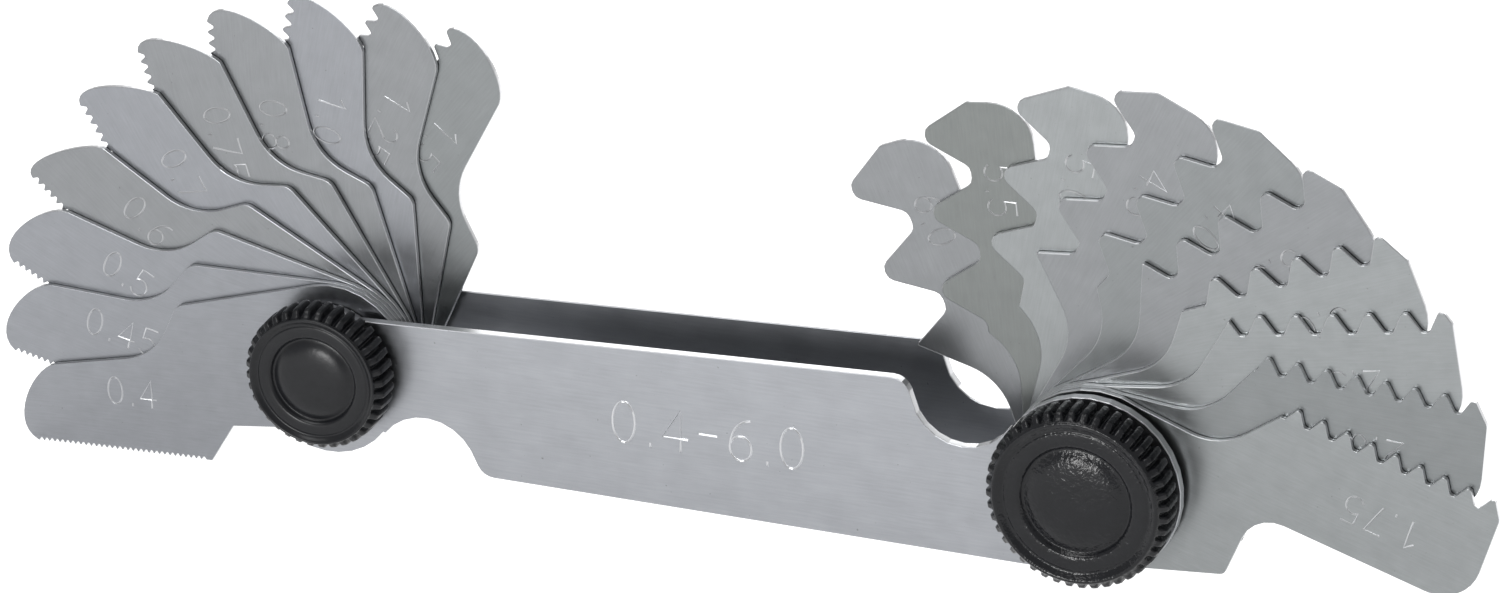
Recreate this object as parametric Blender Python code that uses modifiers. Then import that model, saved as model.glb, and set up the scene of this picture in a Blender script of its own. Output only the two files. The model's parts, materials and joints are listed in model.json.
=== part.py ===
"""Folding screw pitch gauge: twenty toothed steel leaves on two pivots between two side plates.

Frame: the origin is the middle of the rear face of the screw head at the fine pivot. +X runs to the coarse
pivot, +Y runs along the pivots out of the back of the case, so the nuts in front are at the lowest Y, and +Z
points to the open edge that the leaves fold out of.

A leaf is drawn in its own plane: u runs outwards along its row of teeth and n points towards the teeth,
both measured from its pivot. Angles are counter-clockwise as seen from the front, from +X.
"""
import math

import bmesh
import bpy
from mathutils import Matrix, Vector

MM = 0.001

# ---- driving dimensions -------------------------------------------------------------------------------
PIVOT_SPACING = 54.8 * MM
PLATE_THICKNESS = 0.7 * MM
LEAF_THICKNESS = 0.38 * MM
LEAF_GAP = 0.07 * MM            # running clearance between neighbouring leaves
STACK_GAP = 0.1 * MM            # clearance on each side of a washer
SCREW_RADIUS = 1.5 * MM
HOLE_CLEARANCE = 0.1 * MM       # radial, round the screw in every hole

# case: a bar with a round end at each pivot, tapering towards the fine end
FINE_END_RADIUS = 5.0 * MM
COARSE_END_RADIUS = 6.4 * MM
CASE_BOTTOM = -6.5 * MM
NOTCH_RADIUS = 3.75 * MM
NOTCH_LIP_RADIUS = 1.3 * MM
TOP_NOTCH_FLOOR = 1.35 * MM
BOTTOM_NOTCH_FLOOR = -2.85 * MM
NOTCH_TO_END = 0.15 * MM        # flat left between a notch and the round end beside it

# washers and screws
SPACER_THICKNESS = 0.4 * MM
SPACER_RADIUS = 4.0 * MM
SPRING_THICKNESS = 0.3 * MM
SPRING_RISE = 0.45 * MM         # height of the dish, without its thickness
SPRING_RADIUS = 3.8 * MM
SCREW_HEAD_RADIUS = 3.3 * MM
SCREW_HEAD_THICKNESS = 0.8 * MM
NUT_WASHER_THICKNESS = 0.4 * MM
NUT_WASHER_INSET = 1.2 * MM       # how far the washer stays inside the ribs of the nut

# thumb nuts: a ribbed plastic knob moulded round a brass insert
FINE_KNOB_RADIUS = 5.3 * MM
COARSE_KNOB_RADIUS = 6.4 * MM
RIB_WIDTH = 0.91 * MM
RIB_DEPTH = 0.35 * MM
RIB_LENGTH = 1.9 * MM
KNOB_THICKNESS = 2.5 * MM
KNOB_CHAMFER = 0.5 * MM
KNOB_RIM = 0.8 * MM
KNOB_DISH = 0.4 * MM
INSERT_RADIUS = 2.4 * MM
INSERT_CLEARANCE = 0.05 * MM
KNOB_WEB = 0.5 * MM             # plastic left between the hole and the dished front
SCREW_SETBACK = 0.3 * MM        # end of the screw, inside the front of the insert

# thread form, as shares of the pitch
TOOTH_DEPTH = 0.54
CREST_FLAT = 0.17
FLANK = math.tan(math.radians(30))
TOOTH_ROUNDING = 0.12
SMALLEST_ROUNDED = 1.0 * MM     # teeth of a smaller pitch keep plain corners

# each leaf, front leaf first: its name, its pitch in mm, the angle at which it stands, its outermost crest
# and, for a fine leaf, how far the back of its tip is ground away
FINE_LEAVES = [("0_40", 0.40, 182.5, 23.0, -0.15), ("0_45", 0.45, 167.2, 23.0, -0.15),
               ("0_50", 0.50, 152.2, 23.0, 0.0), ("0_60", 0.60, 137.1, 23.2, 0.75),
               ("0_70", 0.70, 121.1, 22.9, 0.8), ("0_75", 0.75, 106.9, 23.0, 0.65),
               ("0_80", 0.80, 93.2, 22.75, 0.45), ("1_00", 1.00, 79.0, 22.95, 0.3),
               ("1_25", 1.25, 64.9, 23.0, 0.05), ("1_50", 1.50, 52.2, 22.85, 0.0)]
COARSE_LEAVES = [("1_75", 1.75, -17.4, 25.15), ("2_00", 2.00, -3.3, 24.95), ("2_50", 2.50, 10.1, 25.3),
                 ("3_00", 3.00, 22.8, 24.6), ("3_50", 3.50, 36.2, 24.5), ("4_00", 4.00, 50.7, 24.2),
                 ("4_50", 4.50, 65.6, 23.9), ("5_00", 5.00, 80.4, 22.85), ("5_50", 5.50, 96.9, 22.55),
                 ("6_00", 6.00, 113.2, 22.2)]

# fine leaf
FINE_CREST_LINE = 8.86 * MM     # from the pivot to the tips of the teeth
FINE_FIRST_TOOTH = 10.1 * MM
FINE_ROOT_RADIUS = 5.3 * MM
FINE_TIP_PULL = 25.5 * MM        # control point of the tip, before the share of the pitch
FINE_TIP_SHARE = 0.5
GRIND_DIRECTION = Vector((-0.5, 0.85))
FINE_SHOULDER_ROUNDING = 1.0 * MM
FINE_NECK_ROUNDING = 4.5 * MM
# coarse leaf
COARSE_CREST_LINE = 10.85 * MM
COARSE_TIP = 26.0 * MM
COARSE_TIP_DEPTH = 0.42         # most that the tip is bevelled, as a share of the width of the blade
COARSE_SHORTER_FROM = 4.0 * MM  # leaves of a larger pitch are shorter and narrower, by these shares
COARSE_SHORTER = 0.65
COARSE_NARROWER = 0.4
COARSE_ROOT_RADIUS = 6.3 * MM
COARSE_BELLY = 2.6 * MM
COARSE_FIRST_TOOTH = 10.2 * MM

SEGMENTS = 24                   # round holes, screws and washers

# ---- derived places: along Y from the screw heads at the back to the nuts in front -------------------
PITCH_OF_STACK = LEAF_THICKNESS + LEAF_GAP
STACK_DEPTH = len(FINE_LEAVES) * PITCH_OF_STACK - LEAF_GAP
HOLE_RADIUS = SCREW_RADIUS + HOLE_CLEARANCE
HEAD_BACK = 0.0
HEAD_FRONT = HEAD_BACK - SCREW_HEAD_THICKNESS
BACK_PLATE_FRONT = HEAD_FRONT - STACK_GAP - PLATE_THICKNESS
SPRING_FRONT = BACK_PLATE_FRONT - STACK_GAP - SPRING_THICKNESS - SPRING_RISE
STACK_FRONT = SPRING_FRONT - STACK_GAP - STACK_DEPTH
SPACER_FRONT = STACK_FRONT - STACK_GAP - SPACER_THICKNESS
FRONT_PLATE_FRONT = SPACER_FRONT - STACK_GAP - PLATE_THICKNESS
NUT_WASHER_FRONT = FRONT_PLATE_FRONT - STACK_GAP - NUT_WASHER_THICKNESS
KNOB_BACK = NUT_WASHER_FRONT - STACK_GAP
KNOB_FRONT = KNOB_BACK - KNOB_THICKNESS
KNOB_HOLE_END = KNOB_FRONT + KNOB_DISH + KNOB_WEB
INSERT_FRONT = KNOB_HOLE_END + INSERT_CLEARANCE
SCREW_FRONT = INSERT_FRONT + SCREW_SETBACK
PIVOTS = {"fine": 0.0, "coarse": PIVOT_SPACING}


# ---- scene --------------------------------------------------------------------------------------------
def empty_scene():
    """Removes what is in the scene, and makes the collection that the parts go in."""
    for old in list(bpy.data.objects):
        bpy.data.objects.remove(old, do_unlink=True)
    parts = bpy.data.collections.new("screw_pitch_gauge")
    bpy.context.scene.collection.children.link(parts)
    return parts


def material(name, colour, roughness, metallic):
    """A Principled material; colour is linear RGB."""
    made = bpy.data.materials.new(name)
    made.use_nodes = True
    shader = made.node_tree.nodes["Principled BSDF"]
    shader.inputs["Base Color"].default_value = (*colour, 1.0)
    shader.inputs["Roughness"].default_value = roughness
    shader.inputs["Metallic"].default_value = metallic
    return made


PARTS = empty_scene()
PLATE_STEEL = material("plate_steel", (0.44, 0.46, 0.48), 0.35, 1.0)
LEAF_STEEL = material("leaf_steel", (0.38, 0.39, 0.39), 0.4, 1.0)
SCREW_STEEL = material("screw_steel", (0.42, 0.42, 0.43), 0.3, 1.0)
SPRING_STEEL = material("spring_steel", (0.16, 0.16, 0.17), 0.35, 1.0)
BRASS = material("brass", (0.60, 0.42, 0.14), 0.3, 1.0)
BLACK_PLASTIC = material("black_plastic", (0.028, 0.029, 0.032), 0.45, 0.0)


def add_object(name, data, slot):
    """Links a named object that holds the given mesh or curve, in one material."""
    made = bpy.data.objects.new(name, data)
    data.materials.append(slot)
    PARTS.objects.link(made)
    return made


# ---- outlines -----------------------------------------------------------------------------------------
def arc(centre, radius, start, end, steps):
    """Points along an arc; the angles are in degrees."""
    angles = [math.radians(start + (end - start) * i / steps) for i in range(steps + 1)]
    return [(centre[0] + radius * math.cos(a), centre[1] + radius * math.sin(a)) for a in angles]


def bezier(points, steps):
    """Points along the cubic curve with the four given control points."""
    p0, p1, p2, p3 = [Vector(p) for p in points]
    curve = []
    for i in range(steps + 1):
        t = i / steps
        s = 1 - t
        p = p0 * s ** 3 + p1 * 3 * s * s * t + p2 * 3 * s * t * t + p3 * t ** 3
        curve.append((p.x, p.y))
    return curve


def tangent_angle(radius, point, side):
    """Angle on a circle about the origin where a line from the point touches it; side is +1 or -1."""
    reach = math.hypot(*point)
    return math.degrees(math.atan2(point[1], point[0]) + side * math.acos(radius / reach))


def crossing(a, b, c, d):
    """Where the segment a-b crosses the segment c-d, or None."""
    r = (b[0] - a[0], b[1] - a[1])
    s = (d[0] - c[0], d[1] - c[1])
    turn = r[0] * s[1] - r[1] * s[0]
    if turn == 0:
        return None
    t = ((c[0] - a[0]) * s[1] - (c[1] - a[1]) * s[0]) / turn
    w = ((c[0] - a[0]) * r[1] - (c[1] - a[1]) * r[0]) / turn
    if not (0 <= t <= 1 and 0 <= w <= 1):
        return None
    return (a[0] + r[0] * t, a[1] + r[1] * t)


def join_at_crossing(first, second):
    """Follows the first line until it meets the second, then the rest of the second."""
    for i in range(len(first) - 1):
        for j in range(len(second) - 1):
            met = crossing(first[i], first[i + 1], second[j], second[j + 1])
            if met:
                return first[:i + 1] + [met] + second[j + 1:]
    return first + second


def tooth_row(pitch, crest_line, first, last):
    """Trapezoid teeth from the low u to the high u, with the middle of a crest at the last place."""
    depth = TOOTH_DEPTH * pitch
    half_crest = CREST_FLAT * pitch / 2
    root = crest_line - depth
    count = int((last - first) / pitch)
    start = last - count * pitch
    row = [(start - half_crest - depth * FLANK, root)]
    for i in range(count + 1):
        crest = start + i * pitch
        row += [(crest - half_crest, crest_line), (crest + half_crest, crest_line)]
        if i < count:
            row += [(crest + half_crest + depth * FLANK, root),
                    (crest + pitch - half_crest - depth * FLANK, root)]
    return row


def rounded(corner, before, after, radius, steps):
    """Points that round the corner between two straight edges."""
    corner = Vector(corner)
    to_before = (Vector(before) - corner).normalized()
    to_after = (Vector(after) - corner).normalized()
    half = to_before.angle(to_after) / 2
    start = corner + to_before * radius / math.tan(half)
    centre = corner + (to_before + to_after).normalized() * radius / math.sin(half)
    first = math.degrees(math.atan2(start.y - centre.y, start.x - centre.x))
    turn = 180 - math.degrees(2 * half)
    clockwise = to_before.x * to_after.y - to_before.y * to_after.x > 0
    return arc(centre, radius, first, first - turn if clockwise else first + turn, steps)


def softened(line, radius, steps):
    """Rounds every corner of an open line, apart from its two ends."""
    soft = [line[0]]
    for before, corner, after in zip(line, line[1:], line[2:]):
        soft += rounded(corner, before, after, radius, steps)
    return soft + [line[-1]]


def fine_leaf_outline(pitch, last_crest, tip_ground):
    """The hatchet-shaped blade of a fine leaf, counter-clockwise from the shoulder behind the teeth."""
    shoulder = (11.75 * MM, -2.45 * MM)
    neck = (13.6 * MM, 1.5 * MM)
    blade_end = (21.3 * MM, 2.95 * MM)
    heel_inside = (8.0 * MM, 6.05 * MM)
    heel_outside = (9.8 * MM, FINE_CREST_LINE)
    back_touch = tangent_angle(FINE_ROOT_RADIUS, shoulder, -1)
    heel_touch = tangent_angle(FINE_ROOT_RADIUS, heel_inside, +1)
    back_edge = arc((0, 0), FINE_ROOT_RADIUS, heel_touch, back_touch + 360, 14)
    neck_edge = rounded(shoulder, back_edge[-1], neck, FINE_SHOULDER_ROUNDING, 4)
    neck_edge += rounded(neck, shoulder, blade_end, FINE_NECK_ROUNDING, 8)
    teeth = tooth_row(pitch, FINE_CREST_LINE, FINE_FIRST_TOOTH, last_crest)
    ground = tip_ground * GRIND_DIRECTION
    bulge = Vector((23.0 * MM, 3.4 * MM)) + ground
    pull = Vector((FINE_TIP_PULL - FINE_TIP_SHARE * pitch, 7.9 * MM)) + ground
    tip = bezier([blade_end, bulge, pull, teeth[-1]], 14)
    if pitch >= SMALLEST_ROUNDED:
        teeth = softened(teeth, TOOTH_ROUNDING * pitch, 2)
    return back_edge + neck_edge + tip + teeth[-2:0:-1] + [heel_outside, heel_inside]


def coarse_leaf_outline(pitch, last_crest):
    """The blade of a coarse leaf, clockwise from its round root past the teeth to the heel."""
    heel = (10.3 * MM, -2.6 * MM)
    excess = max(0, pitch - COARSE_SHORTER_FROM)
    belly_line = COARSE_BELLY + COARSE_NARROWER * excess
    throat = (10.75 * MM, belly_line)
    tip_line = COARSE_TIP - COARSE_SHORTER * excess
    bevel = (COARSE_CREST_LINE - belly_line) * COARSE_TIP_DEPTH
    crest_end = last_crest + CREST_FLAT * pitch / 2
    root_leave = 78
    sweep_start = (5.05 * MM, 6.0 * MM)
    sweep_radius = 4.2 * MM
    sweep_slope = 52
    sweep = arc((sweep_start[0], sweep_start[1] + sweep_radius), sweep_radius, -90, sweep_slope - 90, 8)
    rise = math.tan(math.radians(sweep_slope))
    sweep.append((sweep[-1][0] + 5 * MM, sweep[-1][1] + 5 * MM * rise))
    teeth = tooth_row(pitch, COARSE_CREST_LINE, COARSE_FIRST_TOOTH, last_crest)
    teeth[0] = (6 * MM, teeth[0][1])
    if teeth[1][0] - TOOTH_DEPTH * pitch * FLANK > teeth[0][0]:
        teeth.insert(1, (teeth[1][0] - TOOTH_DEPTH * pitch * FLANK, teeth[0][1]))
    flank_foot = (tip_line, COARSE_CREST_LINE - min((tip_line - crest_end) / FLANK, bevel))
    teeth = softened(teeth + [flank_foot], TOOTH_ROUNDING * pitch, 2)[:-1]
    tooth_side = join_at_crossing(sweep, teeth)
    belly = (tip_line, belly_line)
    tip = rounded(flank_foot, teeth[-1], belly, 0.5 * MM, 2)
    tip += rounded(belly, flank_foot, throat, 2.9 * MM, 8)
    heel_touch = tangent_angle(COARSE_ROOT_RADIUS, heel, -1)
    root = arc((0, 0), COARSE_ROOT_RADIUS, heel_touch, root_leave - 360, 16)
    heel_edge = rounded(throat, belly, heel, 2.3 * MM, 5) + rounded(heel, throat, root[0], 0.5 * MM, 3)
    return tooth_side + tip + heel_edge + root


def case_outline():
    """The side plates: a tapered bar with two round ends and a finger notch beside each of them."""
    fine_centre = Vector((PIVOTS["fine"], CASE_BOTTOM + FINE_END_RADIUS))
    coarse_centre = Vector((PIVOTS["coarse"], CASE_BOTTOM + COARSE_END_RADIUS))
    between = coarse_centre - fine_centre
    lean = math.degrees(math.asin((COARSE_END_RADIUS - FINE_END_RADIUS) / between.length)
                        + math.atan2(between.y, between.x))
    top_touch = 90 + lean
    edge_start = fine_centre + FINE_END_RADIUS * Vector((math.cos(math.radians(top_touch)),
                                                         math.sin(math.radians(top_touch))))

    def top_edge(x):
        return edge_start.y + (x - edge_start.x) * math.tan(math.radians(lean))

    top_notch = notch_centre(coarse_centre, COARSE_END_RADIUS, TOP_NOTCH_FLOOR + NOTCH_RADIUS, -1)
    low_notch = notch_centre(fine_centre, FINE_END_RADIUS, BOTTOM_NOTCH_FLOOR - NOTCH_RADIUS, +1)
    top_lip = (top_notch.x - NOTCH_RADIUS - 0.35 * MM, top_edge(top_notch.x - NOTCH_RADIUS))
    low_lip = (low_notch.x + NOTCH_RADIUS + 0.35 * MM, CASE_BOTTOM)
    top_to_end = math.degrees(math.atan2(*(coarse_centre - top_notch).yx))
    low_to_end = math.degrees(math.atan2(*(fine_centre - low_notch).yx))
    wall = 30
    top_floor = arc(top_notch, NOTCH_RADIUS, 180 + wall, 360 + top_to_end, 8)
    low_floor = arc(low_notch, NOTCH_RADIUS, wall, low_to_end, 8)
    coarse_end = arc(coarse_centre, COARSE_END_RADIUS, 180 + top_to_end, -90, 20)
    fine_end = arc(fine_centre, FINE_END_RADIUS, low_to_end - 180, top_touch - 360, 20)
    top_corner = rounded(top_lip, edge_start, top_floor[0], NOTCH_LIP_RADIUS, 4)
    low_corner = rounded(low_lip, coarse_end[-1], low_floor[0], NOTCH_LIP_RADIUS, 4)
    return top_corner + top_floor + coarse_end + low_corner + low_floor + fine_end


def notch_centre(end_centre, end_radius, height, side):
    """Centre of a notch of NOTCH_RADIUS at this height that just clears the round end beside it."""
    reach = end_radius + NOTCH_RADIUS + NOTCH_TO_END
    along = math.sqrt(reach ** 2 - (height - end_centre.y) ** 2)
    return Vector((end_centre.x + side * along, height))


# ---- solids -------------------------------------------------------------------------------------------
def sheet(name, outline, holes, front, thickness, slot):
    """A flat piece cut to an outline in the front view; front is the y of its front face."""
    curve = bpy.data.curves.new(name, "CURVE")
    curve.dimensions = "2D"
    curve.fill_mode = "BOTH"
    curve.extrude = thickness / 2
    rings = [outline] + [arc(centre, radius, 0, 360, SEGMENTS)[:-1] for centre, radius in holes]
    for ring in rings:
        spline = curve.splines.new("POLY")
        spline.points.add(len(ring) - 1)
        spline.use_cyclic_u = True
        for point, (x, z) in zip(spline.points, ring):
            point.co = (x, z, 0, 1)
    made = add_object(name, curve, slot)
    made.location = (0, front + thickness / 2, 0)
    made.rotation_euler = (math.pi / 2, 0, 0)
    return made


def turned(name, profile, pivot, slot, closed=True):
    """A turned piece about a pivot; the profile is (radius, y) and runs from the back to the front."""
    mesh = bpy.data.meshes.new(name)
    edges = [(i, i + 1) for i in range(len(profile) - 1)]
    if closed:
        edges.append((len(profile) - 1, 0))
    mesh.from_pydata([(radius, 0, -y) for radius, y in profile], edges, [])
    made = add_object(name, mesh, slot)
    made.location = (PIVOTS[pivot], 0, 0)
    made.rotation_euler = (math.pi / 2, 0, 0)
    screw = made.modifiers.new("turn", "SCREW")
    screw.axis = "Z"
    screw.steps = SEGMENTS
    screw.render_steps = SEGMENTS
    screw.use_merge_vertices = True
    screw.merge_threshold = 0.00001
    return made


def ring(name, inner, outer, front, thickness, pivot, slot):
    """A flat washer."""
    back = front + thickness
    return turned(name, [(inner, front), (outer, front), (outer, back), (inner, back)], pivot, slot)


def place_leaf(side, index, name, angle, outline):
    """One leaf of a stack, turned to its place about its pivot."""
    front = STACK_FRONT + index * PITCH_OF_STACK
    leaf = sheet("leaf_" + name, outline, [((0, 0), HOLE_RADIUS)], front, LEAF_THICKNESS, LEAF_STEEL)
    leaf.location.x = PIVOTS[side]
    leaf.rotation_euler.y = -math.radians(angle)


def knob(name, radius, pivot):
    """A ribbed knob: a closed front with a dished face, and a blind hole at the back for its insert."""
    ribs = round(2 * math.pi * radius / RIB_WIDTH)
    segments = 2 * ribs
    inner = radius - RIB_DEPTH
    hole = INSERT_RADIUS + INSERT_CLEARANCE
    rim = inner - KNOB_CHAMFER
    # radius at a rib, radius between ribs, and y, from the bottom of the hole round to the front
    rows = [(hole, hole, KNOB_HOLE_END), (hole, hole, KNOB_BACK), (radius, inner, KNOB_BACK),
            (radius, inner, KNOB_BACK - RIB_LENGTH), (rim, rim, KNOB_FRONT),
            (rim - KNOB_RIM, rim - KNOB_RIM, KNOB_FRONT),
            (rim - 2 * KNOB_RIM, rim - 2 * KNOB_RIM, KNOB_FRONT + KNOB_DISH)]
    shape = bmesh.new()
    upright = Matrix.Rotation(math.pi / 2, 4, "X")
    first = bmesh.ops.create_circle(shape, segments=segments, radius=radius, matrix=upright)["verts"]
    loops = shape.edges[:]
    place_row(first, rows[0], segments)
    bmesh.ops.contextual_create(shape, geom=loops)
    for row in rows[1:]:
        grown = bmesh.ops.extrude_edge_only(shape, edges=loops)["geom"]
        loops = [part for part in grown if isinstance(part, bmesh.types.BMEdge)]
        place_row([part for part in grown if isinstance(part, bmesh.types.BMVert)], row, segments)
    bmesh.ops.contextual_create(shape, geom=loops)
    bmesh.ops.recalc_face_normals(shape, faces=shape.faces[:])
    mesh = bpy.data.meshes.new(name)
    shape.to_mesh(mesh)
    shape.free()
    made = add_object(name, mesh, BLACK_PLASTIC)
    made.location = (PIVOTS[pivot], 0, 0)


def place_row(verts, row, segments):
    """Puts a loop of points on a circle that is rippled between two radii, at one y."""
    at_rib, between, y = row
    for vert in verts:
        step = round(math.atan2(vert.co.z, vert.co.x) / (2 * math.pi) * segments)
        angle = 2 * math.pi * step / segments
        reach = at_rib if step % 2 == 0 else between
        vert.co = (reach * math.cos(angle), y, reach * math.sin(angle))


# ---- the gauge ----------------------------------------------------------------------------------------
def build_case():
    holes = [((x, 0), HOLE_RADIUS) for x in PIVOTS.values()]
    sheet("front_plate", case_outline(), holes, FRONT_PLATE_FRONT, PLATE_THICKNESS, PLATE_STEEL)
    sheet("back_plate", case_outline(), holes, BACK_PLATE_FRONT, PLATE_THICKNESS, PLATE_STEEL)


def build_pivot(pivot, knob_radius):
    """The screw, washers, spring, insert and knob of one pivot."""
    edge = 0.2 * MM
    turned("screw_" + pivot, [(0, SCREW_FRONT), (SCREW_RADIUS - edge, SCREW_FRONT),
                              (SCREW_RADIUS, SCREW_FRONT + edge), (SCREW_RADIUS, HEAD_FRONT),
                              (SCREW_HEAD_RADIUS, HEAD_FRONT), (SCREW_HEAD_RADIUS, HEAD_BACK - edge),
                              (SCREW_HEAD_RADIUS - edge, HEAD_BACK), (0, HEAD_BACK)],
           pivot, SCREW_STEEL, closed=False)
    ring("spacer_" + pivot, HOLE_RADIUS, SPACER_RADIUS, SPACER_FRONT, SPACER_THICKNESS, pivot, SCREW_STEEL)
    near = SPRING_FRONT
    far = SPRING_FRONT + SPRING_RISE
    turned("spring_washer_" + pivot, [(HOLE_RADIUS, near), (SPRING_RADIUS, far),
                                      (SPRING_RADIUS, far + SPRING_THICKNESS),
                                      (HOLE_RADIUS, near + SPRING_THICKNESS)], pivot, SPRING_STEEL)
    ring("nut_washer_" + pivot, HOLE_RADIUS, knob_radius - NUT_WASHER_INSET, NUT_WASHER_FRONT,
         NUT_WASHER_THICKNESS, pivot, SCREW_STEEL)
    ring("insert_" + pivot, HOLE_RADIUS, INSERT_RADIUS, INSERT_FRONT, KNOB_BACK - INSERT_FRONT, pivot, BRASS)
    knob("knob_" + pivot, knob_radius, pivot)


build_case()
build_pivot("fine", FINE_KNOB_RADIUS)
build_pivot("coarse", COARSE_KNOB_RADIUS)
for place, (label, pitch, angle, last, ground) in enumerate(FINE_LEAVES):
    place_leaf("fine", place, label, angle, fine_leaf_outline(pitch * MM, last * MM, ground * MM))
for place, (label, pitch, angle, last) in enumerate(COARSE_LEAVES):
    place_leaf("coarse", place, label, angle, coarse_leaf_outline(pitch * MM, last * MM))
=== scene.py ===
# %% [markdown]
# # A folding screw pitch gauge and its finish
#
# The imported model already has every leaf, plate, washer and screw in its place and on its joint. This
# lesson puts the finish of the real tool on that frame: blanked and tumbled spring steel with a rounded
# edge and a stamped number, brushed side plates, and moulded black thumb nuts with ribs round them.

# %% Load the frame
import json
import math

import bmesh
import bpy
import numpy as np
from mathutils import Matrix, Vector


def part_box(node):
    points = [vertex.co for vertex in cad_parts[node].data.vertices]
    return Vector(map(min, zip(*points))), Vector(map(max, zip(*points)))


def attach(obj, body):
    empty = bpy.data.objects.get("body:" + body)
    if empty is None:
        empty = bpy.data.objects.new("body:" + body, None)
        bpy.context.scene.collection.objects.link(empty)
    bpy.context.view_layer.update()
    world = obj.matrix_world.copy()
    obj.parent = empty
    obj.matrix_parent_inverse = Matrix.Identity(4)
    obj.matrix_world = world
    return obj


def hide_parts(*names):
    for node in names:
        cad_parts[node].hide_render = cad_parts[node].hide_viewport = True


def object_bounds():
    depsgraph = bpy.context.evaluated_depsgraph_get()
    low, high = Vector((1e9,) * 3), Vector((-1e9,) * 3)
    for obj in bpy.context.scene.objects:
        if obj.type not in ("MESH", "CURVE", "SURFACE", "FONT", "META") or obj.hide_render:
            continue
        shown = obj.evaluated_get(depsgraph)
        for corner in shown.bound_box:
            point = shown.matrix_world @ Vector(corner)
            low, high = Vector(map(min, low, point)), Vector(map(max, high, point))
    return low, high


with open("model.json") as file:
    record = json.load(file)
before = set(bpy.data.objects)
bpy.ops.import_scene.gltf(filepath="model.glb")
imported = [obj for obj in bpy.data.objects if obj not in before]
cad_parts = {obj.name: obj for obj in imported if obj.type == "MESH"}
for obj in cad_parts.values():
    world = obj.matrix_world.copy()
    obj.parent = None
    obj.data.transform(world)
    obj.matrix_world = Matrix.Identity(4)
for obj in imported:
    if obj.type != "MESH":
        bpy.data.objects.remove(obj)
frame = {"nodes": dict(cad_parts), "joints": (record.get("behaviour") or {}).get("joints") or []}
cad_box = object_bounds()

MM = 0.001

# %% [markdown]
# ## Where the camera stands
#
# A long lens from far off keeps parallel edges almost parallel. The camera is 574 mm from the middle of
# the gauge, 21 degrees to the right of square-on and 24 degrees above it. A camera looks along its own -Z
# with +Y up, so its turn is a matrix whose columns are right, up and backwards.

# %% Camera
GAUGE_MIDDLE = Vector((0.0274, -0.005, 0.0))
CAMERA_PLACE = Vector((0.2169, -0.4922, 0.2371))
SENSOR_WIDTH = 36.0  # mm
LENS = 204.56  # mm

camera_data = bpy.data.cameras.new("camera")
camera = bpy.data.objects.new("camera", camera_data)
bpy.context.scene.collection.objects.link(camera)
camera_data.sensor_width = SENSOR_WIDTH
camera_data.lens = LENS
camera_data.clip_start = 0.01
camera_data.clip_end = 20.0
camera_right = Vector((0.9336, 0.3583, -0.0013)).normalized()
camera_up = Vector((-0.1427, 0.3752, 0.9159)).normalized()
camera_back = camera_right.cross(camera_up)
camera_turn = Matrix((camera_right, camera_up, camera_back)).transposed().to_4x4()
camera.matrix_world = Matrix.Translation(CAMERA_PLACE) @ camera_turn
bpy.context.scene.camera = camera
print("the camera is", round((CAMERA_PLACE - GAUGE_MIDDLE).length / MM), "mm from the middle of the gauge")

# %% [markdown]
# ## Helpers: colour, nodes and materials
#
# Colours are written as they look on a screen, in sRGB hex, and one function turns them to the linear
# values that the shaders add up. A second adds a node with its settings and its links. A third makes a
# material and sets the values that are the same all over its surface.


# %% Colour
def linear(code):
    """An sRGB hex colour as linear red, green, blue and alpha.

    A dark channel is divided by 12.92, and any other is ((channel + 0.055) / 1.055) to the power of 2.4.
    """
    channels = np.array([int(code[i:i + 2], 16) for i in (0, 2, 4)]) / 255
    low = channels / 12.92
    high = ((channels + 0.055) / 1.055) ** 2.4
    return (*np.where(channels <= 0.04045, low, high).tolist(), 1.0)


# %% Nodes
def add(tree, kind, settings=None, **links):
    """Adds a node. Settings are attributes, or input values where the key is a socket's name or number.

    A link is named for its socket, or _0 for the socket with that number.
    """
    node = tree.nodes.new("ShaderNode" + kind)
    for key, value in (settings or {}).items():
        if isinstance(key, int) or key in node.inputs:
            node.inputs[key].default_value = value
        else:
            setattr(node, key, value)
    for key, source in links.items():
        socket = int(key[1:]) if key[1:].isdigit() else key.replace("_", " ")
        tree.links.new(source, node.inputs[socket])
    return node


def new_material(name, **settings):
    """A material with its Principled shader set; underscores stand for spaces in the names of sockets."""
    made = bpy.data.materials.new(name)
    made.use_nodes = True
    shader = made.node_tree.nodes["Principled BSDF"]
    for key, value in settings.items():
        shader.inputs[key.replace("_", " ")].default_value = value
    return made, made.node_tree, shader


# %% [markdown]
# ## A plain pale floor and soft light
#
# The floor is a light table: a matt white acrylic sheet that also glows by itself, so that almost no
# shadow is left on it. A large softbox behind the gauge shines on the upper edges, a smaller one overhead
# to the left on the flat faces and the rounded edges, and one low in front gives the black knobs a soft
# highlight.

# %% Floor
FLOOR_SIZE = 3.0  # metres
FLOOR_GAP = 0.05 * MM
FLOOR_GLOW = 0.5
floor_mesh = bpy.data.meshes.new("floor")
floor_level = cad_box[0][2] - FLOOR_GAP
corners = np.array([(-1, -1), (1, -1), (1, 1), (-1, 1)]) * FLOOR_SIZE / 2
floor_mesh.from_pydata([(x, y, floor_level) for x, y in corners], [], [(0, 1, 2, 3)])
floor = bpy.data.objects.new("floor", floor_mesh)
bpy.context.scene.collection.objects.link(floor)
acrylic = new_material("matt_white_acrylic", Base_Color=linear("f4f4f4"), Roughness=0.9,
                       Specular_IOR_Level=0.1, Emission_Color=linear("ffffff"),
                       Emission_Strength=FLOOR_GLOW)[0]
floor_mesh.materials.append(acrylic)
print("the floor is at", round(floor_level / MM, 2), "mm")

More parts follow.
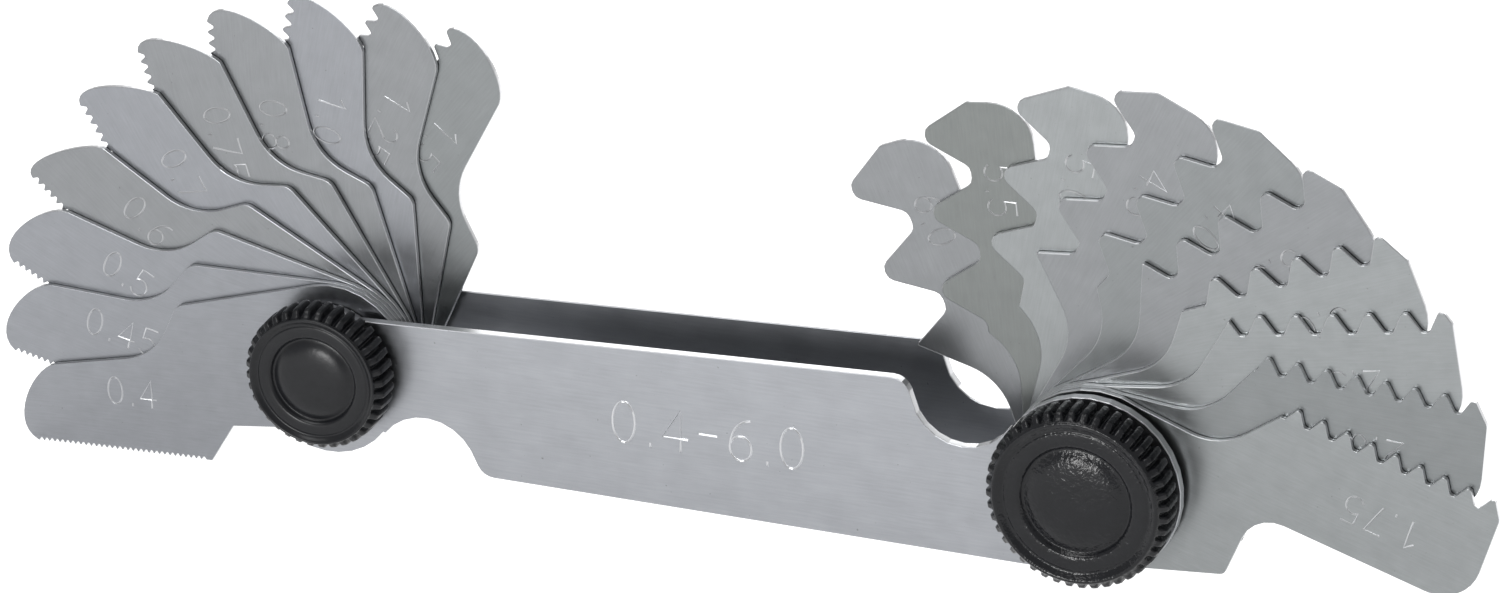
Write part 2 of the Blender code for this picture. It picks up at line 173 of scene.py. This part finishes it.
# %% Lights
# Each softbox has its place and the length of its side in metres, and its power in watts.
SOFTBOXES = {
    "overhead_softbox": ((-0.2, -0.29, 0.6), 0.35, 1.7),
    "back_softbox": ((0.03, 0.75, 0.42), 0.85, 5.0),
    "front_softbox": ((-0.08, -0.63, 0.09), 0.16, 2.0),
}
SURROUND_STRENGTH = 0.55


def softbox(name, place, size, power):
    """A square area light that faces the middle of the gauge."""
    lamp = bpy.data.lights.new(name, "AREA")
    lamp.size = size
    lamp.energy = power
    made = bpy.data.objects.new(name, lamp)
    bpy.context.scene.collection.objects.link(made)
    made.location = place
    made.rotation_euler = (Vector(place) - GAUGE_MIDDLE).to_track_quat("Z", "Y").to_euler()


for name, (place, size, power) in SOFTBOXES.items():
    softbox(name, place, size, power)
world = bpy.data.worlds.new("studio")
bpy.context.scene.world = world
world.use_nodes = True
surround = world.node_tree.nodes["Background"]
surround.inputs["Color"].default_value = linear("ffffff")
surround.inputs["Strength"].default_value = SURROUND_STRENGTH
bpy.context.scene.view_settings.view_transform = "Standard"
print("lit by", len(SOFTBOXES), "softboxes and a white surround")

# %% [markdown]
# ## Spring steel
#
# The leaves are blanked from cold-rolled spring steel strip and tumbled. Rolling leaves a fine grain
# along the strip, tumbling a faint mottle and a few pits, and each strip has taken a slightly different
# grey. Steel is a metal, so the colour is its reflection and the IOR stays as it is. The grain is drawn
# 0.12 mm wide on the leaves and 0.16 mm on the plates, coarser than the real 0.02 mm, so that it shows.
# Only the flat faces keep the dull grey skin of the strip: the cut edges, where the normal leaves the Y
# axis, get a pale colour that is partly bare steel and partly a painted highlight for the light that the
# rounded edges catch. A noise of scale 1 has one bump to each unit of its map, so a scale is 1 over a size
# in millimetres.


# %% Steel
PIT_GREY = "5a5c5c"
# The pale colour of the rims: bare steel, with a painted highlight for the light that the rounded edges
# catch.
BARE_STEEL_AND_HIGHLIGHT = "d0d1d3"
PIT_SPACING = 0.3125  # mm
PIT_DEPTH = 0.02  # mm
GRAIN_DEPTH = 0.004  # mm
GRAIN_STRETCH = 0.06  # width over length of a streak


def rolled_steel(name, colour, roughness, grain, mottle):
    """Steel strip with grain along U; the width of the grain, the mottle and the strip map are in mm."""
    made, tree, shader = new_material(name, Metallic=1.0)
    place = add(tree, "UVMap", {"uv_map": "strip"}).outputs["UV"]
    drawn_out = (GRAIN_STRETCH / grain, 1 / grain, 1)
    long_grain = add(tree, "Mapping", {"Scale": drawn_out}, Vector=place).outputs["Vector"]
    streaks = add(tree, "TexNoise", {"Scale": 1.0, "Detail": 3.0, "Roughness": 0.6}, Vector=long_grain)
    clouds = add(tree, "TexNoise", {"Scale": 1 / mottle, "Detail": 5.0, "Roughness": 0.65}, Vector=place)
    specks = add(tree, "TexNoise", {"Scale": 1 / PIT_SPACING, "Detail": 1.0}, Vector=place)
    pits = add(tree, "MapRange", {1: 0.76, 2: 0.82, 3: 0.0, 4: 0.6}, Value=specks.outputs["Fac"])
    # The colour is the grey times the mottle times the grain, darker in the pits.
    tint = add(tree, "MapRange", {1: 0.3, 2: 0.7, 3: 0.96, 4: 1.03}, Value=clouds.outputs["Fac"])
    grain_tint = add(tree, "MapRange", {1: 0.25, 2: 0.75, 3: 0.94, 4: 1.06}, Value=streaks.outputs["Fac"])
    shade = add(tree, "Math", {"operation": "MULTIPLY"}, _0=tint.outputs[0], _1=grain_tint.outputs[0])
    skin = add(tree, "Mix", {"data_type": "RGBA", "blend_type": "MULTIPLY", 0: 1.0, 6: linear(colour)},
               _7=shade.outputs[0])
    pitted = add(tree, "Mix", {"data_type": "RGBA", 7: linear(PIT_GREY)},
                 _0=pits.outputs[0], _6=skin.outputs[2])
    # On a rim the normal turns away from Y, and the skin gives way to bare steel with a painted highlight
    # on it.
    facing = add(tree, "SeparateXYZ", Vector=add(tree, "TexCoord").outputs["Normal"])
    flatness = add(tree, "Math", {"operation": "ABSOLUTE"}, _0=facing.outputs["Y"])
    rim = add(tree, "MapRange", {1: 0.75, 2: 0.97, 3: 1.0, 4: 0.0}, Value=flatness.outputs[0])
    bare_and_highlighted = add(tree, "Mix", {"data_type": "RGBA", 7: linear(BARE_STEEL_AND_HIGHLIGHT)},
                   _0=rim.outputs[0], _6=pitted.outputs[2])
    tree.links.new(bare_and_highlighted.outputs[2], shader.inputs["Base Color"])
    rough = add(tree, "MapRange", {1: 0.3, 2: 0.7, 3: roughness - 0.02, 4: roughness + 0.03},
                Value=clouds.outputs["Fac"])
    tree.links.new(rough.outputs[0], shader.inputs["Roughness"])
    bump = add(tree, "Bump", {"Strength": 0.25, "Distance": GRAIN_DEPTH * MM},
               Height=streaks.outputs["Fac"])
    dent = add(tree, "Bump", {"Strength": 0.4, "Distance": PIT_DEPTH * MM, "invert": True},
               Height=pits.outputs[0], Normal=bump.outputs[0])
    tree.links.new(dent.outputs[0], shader.inputs["Normal"])
    return made


# %% Greys of steel
LEAF_GREYS = {
    "pale_cool": "828488",
    "pale": "848788",
    "middle": "7c7e80",
    "grey": "787b7c",
    "dark": "707372",
}
LEAF_TONE = {
    "pale_cool": ("0_40", "0_45", "0_50", "0_70", "1_00"),
    "pale": ("1_75", "2_50", "3_00", "5_00"),
    "middle": ("0_60", "0_75", "0_80", "1_25", "3_50", "4_50", "6_00"),
    "grey": ("1_50", "2_00", "4_00"),
    "dark": ("5_50",),
}
leaf_steel = {tone: rolled_steel("spring_steel_" + tone, code, 0.3, grain=0.12, mottle=1.6)
              for tone, code in LEAF_GREYS.items()}
plate_steel = rolled_steel("brushed_plate_steel", "919397", 0.33, grain=0.16, mottle=2.5)
print("made", len(leaf_steel), "greys of leaf steel and one of plate steel")

# %% [markdown]
# ## Stamped numbers
#
# Each leaf is stamped with its pitch, and the front plate with the range of pitches. A stamp's digits are
# single strokes, so a digit is a few polylines in a box one unit high, with its arcs from sine and
# cosine. The punch is a wedge that follows a stroke, and a Boolean presses it into the steel.


# %% Strokes
def sweep(centre, radii, start, end, count=14):
    """Points on an ellipse between two angles in degrees: centre plus radii times cosine and sine."""
    angles = np.radians(np.linspace(start, end, count))
    return np.column_stack((centre[0] + radii[0] * np.cos(angles), centre[1] + radii[1] * np.sin(angles)))


STROKES = {
    "0": [sweep((0.3, 0.5), (0.27, 0.5), 0, 360, 22)],
    "1": [np.array([(0.1, 0.78), (0.34, 1.0), (0.34, 0.0)])],
    "2": [np.vstack((sweep((0.3, 0.72), (0.26, 0.28), 165, -35), [(0.03, 0.0), (0.58, 0.0)]))],
    "3": [np.vstack((sweep((0.27, 0.75), (0.25, 0.25), 150, -80),
                     sweep((0.27, 0.27), (0.29, 0.27), 80, -155)))],
    "4": [np.array([(0.45, 0.0), (0.45, 1.0), (0.02, 0.3), (0.6, 0.3)])],
    "5": [np.vstack(([(0.55, 1.0), (0.12, 1.0)], sweep((0.27, 0.32), (0.3, 0.32), 130, -145)))],
    "6": [np.vstack((sweep((0.55, 0.35), (0.5, 0.65), 95, 175, 8),
                     sweep((0.3, 0.3), (0.26, 0.3), 175, 520, 20)))],
    "7": [np.array([(0.03, 1.0), (0.57, 1.0), (0.2, 0.0)])],
    "8": [sweep((0.3, 0.76), (0.22, 0.24), -90, 270, 18), sweep((0.3, 0.26), (0.27, 0.26), 90, 450, 20)],
    ".": [np.array([(0.1, 0.0), (0.1, 0.06)])],
    "-": [np.array([(0.06, 0.5), (0.46, 0.5)])],
}
DIGIT_ADVANCE = 0.84
DIGIT_GAP = 0.24
ADVANCE = {".": 0.38, "-": 0.75}


def number_strokes(text, height):
    """The strokes of a number, centred on the origin, with its digits as high as asked."""
    pen = 0.0
    strokes = []
    for glyph in text:
        strokes += [stroke + (pen, 0.0) for stroke in STROKES[glyph]]
        pen += ADVANCE.get(glyph, DIGIT_ADVANCE)
    width = pen - DIGIT_GAP
    return [(stroke - (width / 2, 0.5)) * height for stroke in strokes]


def punch_mesh(strokes, half_width, depth):
    """A wedge along each stroke: two corners above the face, left and right of the line, and one below it.

    The side of the line is its direction turned by a quarter, with the directions of both neighbouring
    segments averaged at a corner. Each end runs on by half of the half width. Local x and y lie in the
    face and z points out of it.
    """
    verts, faces, start = [], [], 0
    for line in strokes:
        step = np.diff(line, axis=0)
        step /= np.linalg.norm(step, axis=1)[:, None]
        along = np.vstack((step[:1], step[:-1] + step[1:], step[-1:]))
        along /= np.linalg.norm(along, axis=1)[:, None]
        side = np.column_stack((-along[:, 1], along[:, 0])) * half_width
        ends = np.zeros((len(line), 1))
        ends[0], ends[-1] = -1, 1
        line = line + along * ends * half_width * 0.5
        rows = np.stack((np.column_stack((line + side, np.full(len(line), depth))),
                         np.column_stack((line - side, np.full(len(line), depth))),
                         np.column_stack((line, np.full(len(line), -depth)))), axis=1)
        verts.append(rows.reshape(-1, 3))
        count = len(line)
        first = start + 3 * np.arange(count - 1)
        for a, b in ((0, 1), (1, 2), (2, 0)):
            faces += np.column_stack((first + a, first + b, first + b + 3, first + a + 3)).tolist()
        faces += [[start + 2, start + 1, start], [start + 3 * count - 3, start + 3 * count - 2,
                                                  start + 3 * count - 1]]
        start += 3 * count
    mesh = bpy.data.meshes.new("punch")
    mesh.from_pydata(np.vstack(verts), [], faces)
    return mesh


# %% [markdown]
# ## Leaves and plates with a tumbled edge
#
# A blanked sheet has sharp edges until it is tumbled. The CAD sheet is copied, its loose triangles are
# merged into one skin and its flat faces joined, and a Bevel rounds the rim. Then the punch is pressed
# in. The copy gets its own strip map: U runs along the leaf and V across it, in millimetres, so that the
# grain turns with the leaf.


# %% Sheets
MERGE_DISTANCE = 0.002 * MM
FLAT_ANGLE = math.radians(1)
SHARP_ANGLE = math.radians(50)
EDGE_SEGMENTS = 2


def placed(name, mesh):
    """A new object at the origin with this mesh."""
    made = bpy.data.objects.new(name, mesh)
    bpy.context.scene.collection.objects.link(made)
    return made


def merged_copy(node):
    """The node's triangles merged at their corners, with flat faces joined."""
    mesh = frame["nodes"][node].data.copy()
    skin = bmesh.new()
    skin.from_mesh(mesh)
    bmesh.ops.remove_doubles(skin, verts=skin.verts[:], dist=MERGE_DISTANCE)
    bmesh.ops.dissolve_limit(skin, angle_limit=FLAT_ANGLE, verts=skin.verts[:], edges=skin.edges[:])
    skin.to_mesh(mesh)
    skin.free()
    mesh.materials.clear()
    return mesh


def final_mesh(made, name):
    """The object's mesh with its modifiers applied, under a new name."""
    bpy.context.view_layer.update()
    shown = made.evaluated_get(bpy.context.evaluated_depsgraph_get())
    mesh = bpy.data.meshes.new_from_object(shown)
    mesh.name = name
    return mesh


def lay_strip(mesh, pivot, along, across, shift):
    """Writes the strip map, in mm: U is the distance along from the pivot, plus a shift.

    V is the distance across from the pivot, plus the depth, so that the grain doesn't smear on the edges.
    """
    corner_verts = np.empty(len(mesh.loops), dtype=np.int32)
    mesh.loops.foreach_get("vertex_index", corner_verts)
    points = np.empty(len(mesh.vertices) * 3)
    mesh.vertices.foreach_get("co", points)
    points = points.reshape(-1, 3)[corner_verts] - np.array(pivot)
    across_mm = points @ np.array(across) / MM + points[:, 1] / MM
    strip = np.column_stack((points @ np.array(along) / MM + shift, across_mm))
    layer = mesh.uv_layers.new(name="strip")
    layer.data.foreach_set("uv", strip.ravel())


def dressed_sheet(node, body, material, pivot, angle, edge, shift, stamp=None):
    """Rounds a copy of a sheet by its edge and stamps it.

    A stamp is its strokes, place, reading turn, half width and depth. The place is in mm along and across
    the strip, and a turn of -1 reads from the tip to the pivot.
    """
    blank = placed(node + "_blank", merged_copy(node))
    bevel = blank.modifiers.new("tumbled edge", "BEVEL")
    bevel.width = edge
    bevel.segments = EDGE_SEGMENTS
    bevel.limit_method = "ANGLE"
    bevel.angle_limit = SHARP_ANGLE
    turn = math.radians(angle)
    along = Vector((math.cos(turn), 0, math.sin(turn)))
    across = Vector((-math.sin(turn), 0, math.cos(turn)))
    if stamp:
        strokes, (u, v), turned, half_width, depth = stamp
        punch = placed(node + "_punch", punch_mesh(strokes, half_width, depth))
        spot = Vector(pivot) + along * u * MM + across * v * MM
        spot.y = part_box(node)[0][1]
        read = Matrix((along * turned, across * turned, (0, -1, 0))).transposed()
        punch.matrix_world = Matrix.Translation(spot) @ read.to_4x4()
        cut = blank.modifiers.new("stamp", "BOOLEAN")
        cut.operation = "DIFFERENCE"
        cut.solver = "EXACT"
        cut.use_self = True
        cut.object = punch
    made = placed(node + "_dressed", final_mesh(blank, node + "_dressed"))
    if stamp:
        bpy.data.objects.remove(punch, do_unlink=True)
    bpy.data.objects.remove(blank, do_unlink=True)
    lay_strip(made.data, pivot, along, across, shift)
    made.data.materials.clear()
    made.data.materials.append(material)
    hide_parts(node)
    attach(made, body)
    return made


# %% [markdown]
# ### The leaves
#
# A leaf's hinge says where its pivot is, and its range says where it stands, because every leaf of a
# stack swings between the same two angles. The name of the node says its pitch. A leaf with small teeth
# has a smaller rounding, so that its teeth stay sharp, and each leaf is cut from another stretch of the
# strip.

# %% Leaves
FIRST_STOP = {"fine": -17.0, "coarse": -20.0}  # degrees
NUMBER_SPOT = {"fine": (15.6, 4.4), "coarse": (18.8, 5.9)}  # mm along and across from the pivot
NUMBER_HEIGHT = 2.0 * MM
NUMBER_HALF_WIDTH = 0.13 * MM
NUMBER_DEPTH = 0.036 * MM
LEAF_ROUNDING = 0.07 * MM
ROUNDING_SHARE = 0.06  # of the pitch
STRIP_STEP = 37.0  # mm
BETWEEN_PIVOTS = 20 * MM


def number_of(node):
    """leaf_1_75 is stamped 1.75, and leaf_2_00 is stamped 2.0."""
    value = float(node[len("leaf_"):].replace("_", "."))
    return f"{value:g}" if value % 1 else f"{value:.1f}"


hinges = {joint["child"]: joint for joint in frame["joints"] if joint["type"] == "hinge"}
leaf_nodes = sorted(node for node in frame["nodes"] if node.startswith("leaf_"))
for place_in_row, node in enumerate(leaf_nodes):
    joint = hinges[node]
    stack = "fine" if joint["pos_m"][0] < BETWEEN_PIVOTS else "coarse"
    stands_at = FIRST_STOP[stack] - joint["range_deg"][0]
    pitch = float(number_of(node)) * MM
    tone = next(tone for tone, names in LEAF_TONE.items() if node[len("leaf_"):] in names)
    strokes = number_strokes(number_of(node), NUMBER_HEIGHT)
    stamp = (strokes, NUMBER_SPOT[stack], -1, NUMBER_HALF_WIDTH, NUMBER_DEPTH)
    edge = min(LEAF_ROUNDING, ROUNDING_SHARE * pitch)
    leaf = dressed_sheet(node, node, leaf_steel[tone], joint["pos_m"], stands_at,
                         edge, STRIP_STEP * place_in_row, stamp)
    print(node, "stands at", round(stands_at, 1), "degrees and has", len(leaf.data.polygons), "faces")

# %% [markdown]
# ### The plates
#
# Both side plates are blanked in one die. The front one is stamped with the range of pitches, which reads
# from left to right.

# %% Plates
PLATE_ROUNDING = 0.09 * MM
RANGE_HEIGHT = 3.0 * MM
RANGE_SPOT = (27.8, -0.75)  # mm along and across from the fine pivot
RANGE_HALF_WIDTH = 0.15 * MM
RANGE_DEPTH = 0.06 * MM
FINE_PIVOT = (0, 0, 0)

range_stamp = (number_strokes("0.4-6.0", RANGE_HEIGHT), RANGE_SPOT, 1, RANGE_HALF_WIDTH, RANGE_DEPTH)
for node, shift, stamp in (("front_plate", 400.0, range_stamp), ("back_plate", 900.0, None)):
    plate = dressed_sheet(node, "case", plate_steel, FINE_PIVOT, 0.0,
                          PLATE_ROUNDING, shift, stamp)
    print(node, "has", len(plate.data.polygons), "faces")

# %% [markdown]
# ## Thumb nuts
#
# A thumb nut is black nylon, moulded round a brass insert. Its side has rounded ribs for the fingers, and
# its face has a raised rim, a flat ring, a groove and a slightly domed middle. It is one turned surface:
# a profile of radius against height, carried round the pivot, with a little off the radius between two
# ribs. The profile's corners are softened by cutting every edge at a quarter and three quarters, twice.


# %% Turned surfaces
def softened(profile, rounds=2):
    """Corner cutting: every edge gives the points at 1/4 and 3/4 of its length, and the two ends stay."""
    for _ in range(rounds):
        a, b = profile[:-1], profile[1:]
        cut = np.stack((a * 0.75 + b * 0.25, a * 0.25 + b * 0.75), axis=1).reshape(-1, profile.shape[1])
        profile = np.vstack((profile[:1], cut, profile[-1:]))
    return profile


def closed_surface(name, points):
    """A mesh from a grid of points, rows by columns, that closes on itself and ends in two poles."""
    rows, columns = points.shape[:2]
    index = np.arange(rows * columns).reshape(rows, columns)
    right = np.roll(index, -1, axis=1)
    sides = np.stack((index[:-1], right[:-1], right[1:], index[1:]), axis=-1).reshape(-1, 4)
    first, last = rows * columns, rows * columns + 1
    fans = np.vstack((np.column_stack((right[0], index[0], np.full(columns, first))),
                      np.column_stack((index[-1], right[-1], np.full(columns, last)))))
    verts = np.vstack((points.reshape(-1, 3), points[0].mean(axis=0), points[-1].mean(axis=0)))
    mesh = bpy.data.meshes.new(name)
    mesh.from_pydata(verts, [], sides.tolist() + fans.tolist())
    mesh.shade_smooth()
    return mesh


def ribbed_turning(name, profile, centre, ribs, depth, per_rib=10):
    """Radius against height, carried round an axis along Y.

    A point at angle a is at radius r - depth * mask * valley(a). The valley runs smoothly from 0 on a rib
    to 1 between two ribs: 0.12 of it is the square of how far the angle is from the middle of a rib, and
    0.88 is 3w^2 - 2w^3 of how far it is into the gap.
    """
    angle = np.linspace(0, 2 * np.pi, ribs * per_rib, endpoint=False)
    off_rib = np.abs(2 * ((angle * ribs / (2 * np.pi)) % 1) - 1)
    into_gap = np.clip((off_rib - 0.4) / 0.5, 0, 1)
    valley = 0.12 * off_rib ** 2 + 0.88 * into_gap ** 2 * (3 - 2 * into_gap)
    radius = profile[:, :1] - depth * profile[:, 2:] * valley
    height = np.broadcast_to(profile[:, 1:2], radius.shape)
    points = np.stack((centre[0] + radius * np.cos(angle), centre[1] - height,
                       centre[2] + radius * np.sin(angle)), axis=-1)
    return closed_surface(name, points)


# %% Knob profile
def knob_profile(outer, hole, hole_depth, thickness):
    """Rows of radius, height over the back and share of a rib's depth, starting in the blind hole.

    The back and its hole keep their corners. The side has its sizes in mm. The face has each radius as a
    share of the outer one, with how far it drops below the top in mm.
    """
    back = [(0.3, hole_depth, 0), (hole, hole_depth, 0), (hole, 0, 0), (hole + 0.2, 0, 0)]
    side = [(outer - 0.62, 0, 0), (outer - 0.1, 0, 1), (outer, 0.12, 1), (outer, 1.72, 1),
            (outer - 0.1, 1.98, 1), (outer - 0.4, 2.18, 0.6), (outer - 0.52, 2.3, 0)]
    face = [(0.895, 0.0), (0.865, 0.0), (0.81, 0.26), (0.785, 0.28), (0.765, 0.2), (0.64, 0.19),
            (0.61, 0.3), (0.585, 0.55), (0.55, 0.5), (0.46, 0.24), (0.34, 0.1), (0.2, 0.03), (0.02, 0.0)]
    face = [(outer * share, thickness - drop, 0) for share, drop in face]
    return np.vstack((back, softened(np.array(side + face, dtype=float)))) * (MM, MM, 1)


# %% [markdown]
# ## Black nylon
#
# Nylon has an IOR of 1.53. The big nut has an orange-peel skin from its mould, with bumps about 0.36 mm
# apart that break up its highlights, and the small one came out of its mould almost smooth. Dust and
# handling make clouds of a slightly paler black, about 1.4 mm apart.


# %% Nylon
PEEL_SPACING = 0.36 * MM
DUST_SPACING = 1.4 * MM
NYLON_BLACK = "0d0e11"
DUSTY_BLACK = "141518"


def moulded_nylon(name, peel, roughness):
    """Black nylon; peel is the depth of its orange-peel skin in mm."""
    made, tree, shader = new_material(name, IOR=1.53, Roughness=roughness, Specular_IOR_Level=0.24)
    place = add(tree, "TexCoord").outputs["Object"]
    skin = add(tree, "TexNoise", {"Scale": 1 / PEEL_SPACING, "Detail": 2.0, "Roughness": 0.6},
               Vector=place)
    dust = add(tree, "TexNoise", {"Scale": 1 / DUST_SPACING, "Detail": 4.0, "Roughness": 0.7},
               Vector=place)
    tint = add(tree, "MapRange", {1: 0.35, 2: 0.75, 3: 0.0, 4: 1.0}, Value=dust.outputs["Fac"])
    colour = add(tree, "Mix", {"data_type": "RGBA", 6: linear(NYLON_BLACK), 7: linear(DUSTY_BLACK)},
                 _0=tint.outputs[0])
    tree.links.new(colour.outputs[2], shader.inputs["Base Color"])
    bump = add(tree, "Bump", {"Strength": 1.0, "Distance": peel * MM}, Height=skin.outputs["Fac"])
    tree.links.new(bump.outputs[0], shader.inputs["Normal"])
    return made


nylon = {"coarse": moulded_nylon("moulded_nylon_orange_peel", 0.06, 0.22),
         "fine": moulded_nylon("moulded_nylon_smooth", 0.01, 0.3)}

# %% Knobs
RIBS = {"fine": 36, "coarse": 44}
RIB_DEPTH = 0.5 * MM
INSERT_HOLE_RADIUS = 2.45  # mm
HOLE_BEYOND_INSERT = 0.05  # mm
for stack, ribs in RIBS.items():
    node = "knob_" + stack
    low, high = (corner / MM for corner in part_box(node))
    outer = (high.x - low.x) / 2
    hole_depth = high.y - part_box("insert_" + stack)[0][1] / MM + HOLE_BEYOND_INSERT
    profile = knob_profile(outer, INSERT_HOLE_RADIUS, hole_depth, high.y - low.y)
    centre = ((low.x + high.x) / 2 * MM, high.y * MM, 0.0)
    knob = placed(node + "_moulded", ribbed_turning(node, profile, centre, ribs, RIB_DEPTH))
    knob.data.materials.append(nylon[stack])
    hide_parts(node)
    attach(knob, stack + "_nut")
    print(node, "is", round(2 * outer, 2), "mm across with", ribs, "ribs")

# %% [markdown]
# ## Turned and blued metal
#
# The screws and washers are turned from bar, which leaves fine rings round their axis. The dished spring
# washers are blued by heat, and the inserts are brass. Their shapes are right as they are, so only the
# material of each node changes. A Mapping node puts the rings on the pivot. A Wave texture of scale 1
# repeats every 0.314 units, so its scale is 0.314 over the spacing of the rings.

# %% Turned metal
WAVE_PERIOD = 0.314
RING_SPACING = 0.12 * MM
RING_DEPTH = 0.006 * MM
STAIN_SPACING = 1.2 * MM


def turned_metal(name, colour, roughness, pivot_x):
    """Metal with turning rings about an axis along Y, and a faint stain."""
    made, tree, shader = new_material(name, Metallic=1.0)
    place = add(tree, "TexCoord").outputs["Object"]
    centred = add(tree, "Mapping", {"Location": (-pivot_x, 0, 0)}, Vector=place)
    rings = add(tree, "TexWave", {"wave_type": "RINGS", "rings_direction": "Y",
                                  "Scale": WAVE_PERIOD / RING_SPACING, "Distortion": 0.4, "Detail": 2.0},
                Vector=centred.outputs[0])
    clouds = add(tree, "TexNoise", {"Scale": 1 / STAIN_SPACING, "Detail": 4.0}, Vector=place)
    tint = add(tree, "Mix", {"data_type": "RGBA", "blend_type": "MULTIPLY", 0: 0.25, 6: linear(colour)},
               _7=clouds.outputs["Fac"])
    tree.links.new(tint.outputs[2], shader.inputs["Base Color"])
    rough = add(tree, "MapRange", {3: roughness - 0.05, 4: roughness + 0.08}, Value=clouds.outputs["Fac"])
    tree.links.new(rough.outputs[0], shader.inputs["Roughness"])
    bump = add(tree, "Bump", {"Strength": 0.3, "Distance": RING_DEPTH}, Height=rings.outputs["Fac"])
    tree.links.new(bump.outputs[0], shader.inputs["Normal"])
    return made


def refinish(node, material):
    """Gives a node of the frame a new material and leaves its shape alone."""
    mesh = frame["nodes"][node].data
    mesh.materials.clear()
    mesh.materials.append(material)


for stack in RIBS:
    low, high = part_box("screw_" + stack)
    pivot_x = (low.x + high.x) / 2
    bright = turned_metal("turned_steel_" + stack, "c4c4c6", 0.28, pivot_x)
    for node in ("screw_", "spacer_", "nut_washer_"):
        refinish(node + stack, bright)
    refinish("spring_washer_" + stack, turned_metal("blued_spring_steel_" + stack, "5d6068", 0.3, pivot_x))
    refinish("insert_" + stack, turned_metal("turned_brass_" + stack, "d8b45c", 0.28, pivot_x))
print("the screws, washers and inserts keep their CAD shapes")
